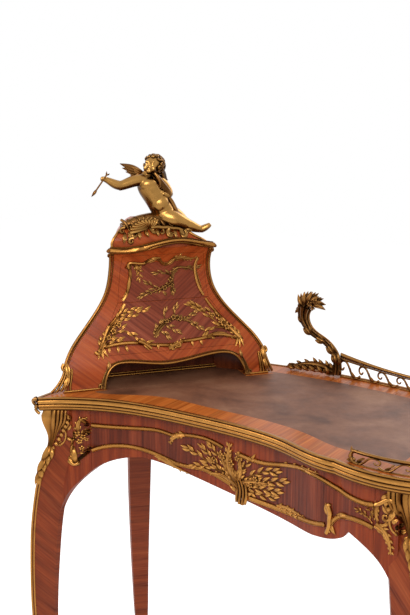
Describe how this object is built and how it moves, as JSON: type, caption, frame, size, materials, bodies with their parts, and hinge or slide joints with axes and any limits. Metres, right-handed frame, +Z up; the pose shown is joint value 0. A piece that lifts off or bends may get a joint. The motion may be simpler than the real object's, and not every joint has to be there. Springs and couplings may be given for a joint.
{
  "type": "writing desk",
  "caption": "Concave-fronted lady's writing desk on cabriole legs with gilt mounts, a frieze drawer, a pierced gallery and a waisted corner cabinet with drawers under a seated putto.",
  "frame": {"origin": "on the floor under the middle of the desk's bounding box", "axes": "+X to the sitter's right, +Y to the back of the desk, +Z up"},
  "size_m": [0.947, 0.5455, 1.286],
  "materials": {
    "frieze_veneer": "dark red-brown kingwood veneer, grain upright, waxed",
    "leg_veneer": "reddish kingwood veneer laid on the diagonal, waxed",
    "cabinet_veneer": "orange-red tulipwood veneer, waxed",
    "panel_veneer": "orange-red tulipwood veneer, diagonal grain, waxed",
    "niche_veneer": "plain red-brown veneer inside the niche",
    "crossbanding": "light orange crossbanded border, waxed",
    "leather": "worn brown writing leather",
    "gilt_bronze": "gilt bronze, worn and darkened in its hollows",
    "dark_bronze": "gilt bronze with most of its gilding toned dark",
    "figure_bronze": "gilt bronze with dark patina in its hollows",
    "oak": "plain oak, unpolished"
  },
  "bodies": {
    "desk": {"apron_back": "frieze_veneer", "apron_left": "frieze_veneer", "apron_right": "frieze_veneer", "cabinet_cornice": "gilt_bronze", "cabinet_dust_board": "oak", "cabinet_edge_left": "gilt_bronze", "cabinet_edge_right": "gilt_bronze", "cabinet_front": "cabinet_veneer", "cabinet_roof": "cabinet_veneer", "cabinet_side_left": "cabinet_veneer", "cabinet_side_right": "cabinet_veneer", "cornucopia_finial": "dark_bronze", "drawer_runner_left": "oak", "drawer_runner_right": "oak", "gallery_back": "dark_bronze", "gallery_front": "dark_bronze", "gallery_right": "dark_bronze", "leather_panel": "leather", "leg_chute_front_left": "gilt_bronze", "leg_chute_front_right": "gilt_bronze", "leg_chute_rear_left": "gilt_bronze", "leg_chute_rear_right": "gilt_bronze", "leg_fillet_front_left": "gilt_bronze", "leg_fillet_front_right": "gilt_bronze", "leg_fillet_rear_left": "gilt_bronze", "leg_fillet_rear_right": "gilt_bronze", "leg_front_left": "leg_veneer", "leg_front_right": "leg_veneer", "leg_rear_left": "leg_veneer", "leg_rear_right": "leg_veneer", "niche_arch_trim": "gilt_bronze", "niche_back": "niche_veneer", "niche_ceiling": "niche_veneer", "putto_arrow": "figure_bronze", "putto_figure": "figure_bronze", "putto_wing": "figure_bronze", "rockwork_base": "figure_bronze", "spandrel_front_left": "frieze_veneer", "spandrel_front_right": "frieze_veneer", "spandrel_spray_left": "gilt_bronze", "spandrel_spray_right": "gilt_bronze", "top_core": "oak", "top_crossbanding": "crossbanding", "top_edge_moulding": "gilt_bronze"},
    "frieze_drawer": {"frieze_centre_spray": "gilt_bronze", "frieze_drawer_back": "oak", "frieze_drawer_bottom": "oak", "frieze_drawer_front": "frieze_veneer", "frieze_drawer_side_left": "oak", "frieze_drawer_side_right": "oak", "frieze_frame_lines": "gilt_bronze"},
    "upper_drawer": {"upper_drawer_box": "oak", "upper_drawer_frame": "gilt_bronze", "upper_drawer_front": "panel_veneer", "upper_drawer_spray": "gilt_bronze"},
    "lower_drawer": {"lower_drawer_box": "oak", "lower_drawer_frame": "gilt_bronze", "lower_drawer_front": "panel_veneer", "lower_drawer_spray": "gilt_bronze"}
  },
  "joints": [
    {"name": "frieze_drawer_slide", "type": "slide", "parent": "desk", "child": "frieze_drawer", "axis": [0, -1, 0], "range_m": [0, 0.2]},
    {"name": "upper_drawer_slide", "type": "slide", "parent": "desk", "child": "upper_drawer", "axis": [0.7944, -0.6074, 0], "range_m": [0, 0.055]},
    {"name": "lower_drawer_slide", "type": "slide", "parent": "desk", "child": "lower_drawer", "axis": [0.7944, -0.6074, 0], "range_m": [0, 0.055]}
  ]
}
